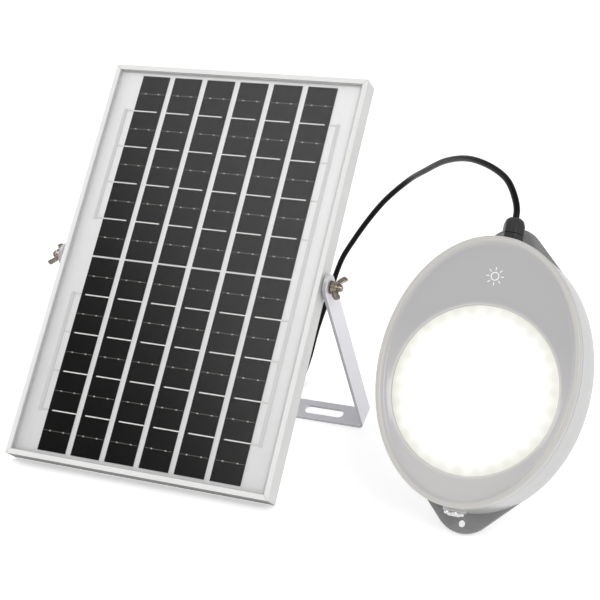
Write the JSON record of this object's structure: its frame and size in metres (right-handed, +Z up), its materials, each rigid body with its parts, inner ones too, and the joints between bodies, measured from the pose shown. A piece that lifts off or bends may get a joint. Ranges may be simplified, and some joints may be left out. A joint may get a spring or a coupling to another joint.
{
  "type": "solar flood light",
  "caption": "Framed solar panel on a folding U-shaped bracket, joined by a round cable to an oval flood lamp with mounting ears.",
  "frame": {"origin": "on the floor, in the middle of the plan of panel, bracket and lamp", "axes": "+X along the panel from its left edge towards the lamp, the panel and lamp face -Y, +Z up"},
  "size_m": [0.4744, 0.3062, 0.2991],
  "materials": {
    "anodised_aluminium": "satin anodised silver",
    "front_glass": "clear tempered glass",
    "silicon_cell": "dark silicon under glass",
    "tinned_ribbon": "tinned copper",
    "backsheet_white": "white laminate",
    "bracket_paint": "satin light grey paint",
    "zinc_hardware": "zinc plated",
    "nylon_white": "natural nylon",
    "lamp_body": "glossy light grey",
    "lamp_grey": "glossy light grey",
    "opal_diffuser": "opal, lit from behind",
    "seal_rubber": "matt",
    "led_board_white": "white solder mask",
    "battery_sleeve": "shrink sleeve",
    "circuit_board": "green solder mask",
    "black_plastic": "moulded black",
    "stainless_steel": "turned",
    "cable_black": "smooth black jacket"
  },
  "bodies": {
    "base": {"bracket": "bracket_paint", "battery_cell_1": "battery_sleeve", "battery_cell_2": "battery_sleeve", "battery_holder": "black_plastic", "control_board": "circuit_board", "cord_box_run": "cable_black", "cord_coil": "cable_black", "cord_lamp_run": "cable_black", "cord_tie": "seal_rubber", "cover_screw_1": "stainless_steel", "cover_screw_2": "stainless_steel", "cover_screw_3": "stainless_steel", "cover_screw_4": "stainless_steel", "cover_seal": "seal_rubber", "diffuser": "opal_diffuser", "gland_body": "black_plastic", "gland_cap": "black_plastic", "gland_locknut": "black_plastic", "gland_seal": "seal_rubber", "lamp_bezel": "lamp_grey", "lamp_housing": "lamp_body", "led_board": "led_board_white", "switch_body": "stainless_steel"},
    "panel": {"backsheet": "backsheet_white", "cell_lower_1": "silicon_cell", "cell_lower_2": "silicon_cell", "cell_lower_3": "silicon_cell", "cell_lower_4": "silicon_cell", "cell_lower_5": "silicon_cell", "cell_lower_6": "silicon_cell", "cell_upper_1": "silicon_cell", "cell_upper_2": "silicon_cell", "cell_upper_3": "silicon_cell", "cell_upper_4": "silicon_cell", "cell_upper_5": "silicon_cell", "cell_upper_6": "silicon_cell", "corner_key_lower_left": "zinc_hardware", "corner_key_lower_right": "zinc_hardware", "corner_key_upper_left": "zinc_hardware", "corner_key_upper_right": "zinc_hardware", "flat_washer_left": "zinc_hardware", "flat_washer_right": "zinc_hardware", "frame_bottom": "anodised_aluminium", "frame_left": "anodised_aluminium", "frame_right": "anodised_aluminium", "frame_top": "anodised_aluminium", "front_glass": "front_glass", "junction_box": "black_plastic", "junction_box_gland": "black_plastic", "junction_box_lid": "black_plastic", "pivot_bolt_left": "zinc_hardware", "pivot_bolt_right": "zinc_hardware", "spacer_left": "nylon_white", "spacer_right": "nylon_white", "string_ribbons_lower": "tinned_ribbon", "string_ribbons_upper": "tinned_ribbon"},
    "wing_nut_left": {"wing_nut_left": "zinc_hardware"},
    "wing_nut_right": {"wing_nut_right": "zinc_hardware"},
    "power_button": {"power_button": "stainless_steel"}
  },
  "joints": [
    {"name": "panel_tilt", "type": "hinge", "parent": "base", "child": "panel", "pos_m": [-0.10279, 0.00373, 0.14806], "axis": [1, 0, 0], "range_deg": [-55, 58], "deforming": ["cord_box_run"]},
    {"name": "wing_nut_left_turn", "type": "hinge", "parent": "panel", "child": "wing_nut_left", "pos_m": [-0.23279, 0.00373, 0.14806], "axis": [-1, 0, 0], "continuous": true},
    {"name": "wing_nut_right_turn", "type": "hinge", "parent": "panel", "child": "wing_nut_right", "pos_m": [0.02721, 0.00373, 0.14806], "axis": [1, 0, 0], "continuous": true},
    {"name": "power_button_press", "type": "slide", "parent": "base", "child": "power_button", "axis": [0.0221, 0.4689, 0.8829], "range_m": [0, 0.0015], "stiffness_N_per_m": 1200, "springref_m": -0.0006}
  ]
}
